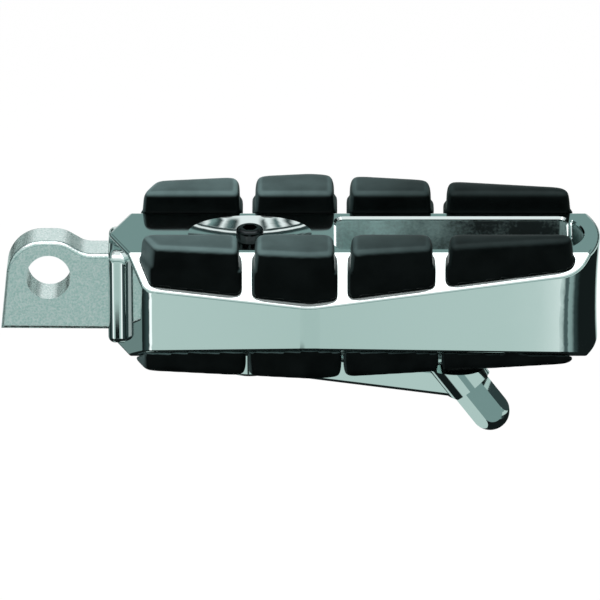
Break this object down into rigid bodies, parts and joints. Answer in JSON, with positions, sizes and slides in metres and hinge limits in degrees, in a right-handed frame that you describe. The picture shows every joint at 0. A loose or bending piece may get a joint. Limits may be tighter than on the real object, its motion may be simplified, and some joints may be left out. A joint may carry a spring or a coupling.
{
  "type": "motorcycle footpeg",
  "caption": "Rider's footpeg with a clevis tang, a chromed cast body, rubber pads on both faces and a heel arm that swings out below.",
  "frame": {"origin": "centre of the tang's clevis bore", "axes": "+X outward along the peg, +Z square to the upper deck, +Y towards the back row of pads; the tang is rolled 9.5 degrees about X"},
  "size_m": [0.1345, 0.0475, 0.0464],
  "materials": {
    "chrome_body": "polished chrome plate",
    "chrome_arm": "polished chrome plate",
    "cast_steel": "satin, fine cast grain",
    "rubber": "satin moulded rubber",
    "black_steel": "black oxide",
    "bright_steel": "zinc plate",
    "bronze": "plain bearing bronze"
  },
  "bodies": {
    "peg": {"mount_tang": "cast_steel", "peg_body": "chrome_body", "pivot_bolt": "black_steel", "thrust_washer": "bright_steel", "spring_washer": "bright_steel", "nut_washer": "bright_steel", "lock_nut": "bright_steel", "pad_top_front_1": "rubber", "pad_top_front_2": "rubber", "pad_top_front_3": "rubber", "pad_top_front_4": "rubber", "pad_top_back_1": "rubber", "pad_top_back_2": "rubber", "pad_top_back_3": "rubber", "pad_top_back_4": "rubber", "pad_low_front_1": "rubber", "pad_low_front_2": "rubber", "pad_low_front_3": "rubber", "pad_low_front_4": "rubber", "pad_low_back_1": "rubber", "pad_low_back_2": "rubber", "pad_low_back_3": "rubber", "pad_low_back_4": "rubber"},
    "heel_arm_body": {"heel_arm": "chrome_arm", "heel_pin": "chrome_arm", "arm_bush": "bronze"}
  },
  "joints": [
    {"name": "heel_arm_swing", "type": "hinge", "parent": "peg", "child": "heel_arm_body", "pos_m": [0.0452, -0.00056, -0.00335], "axis": [0, 0, 1], "range_deg": [-74, 16]}
  ]
}
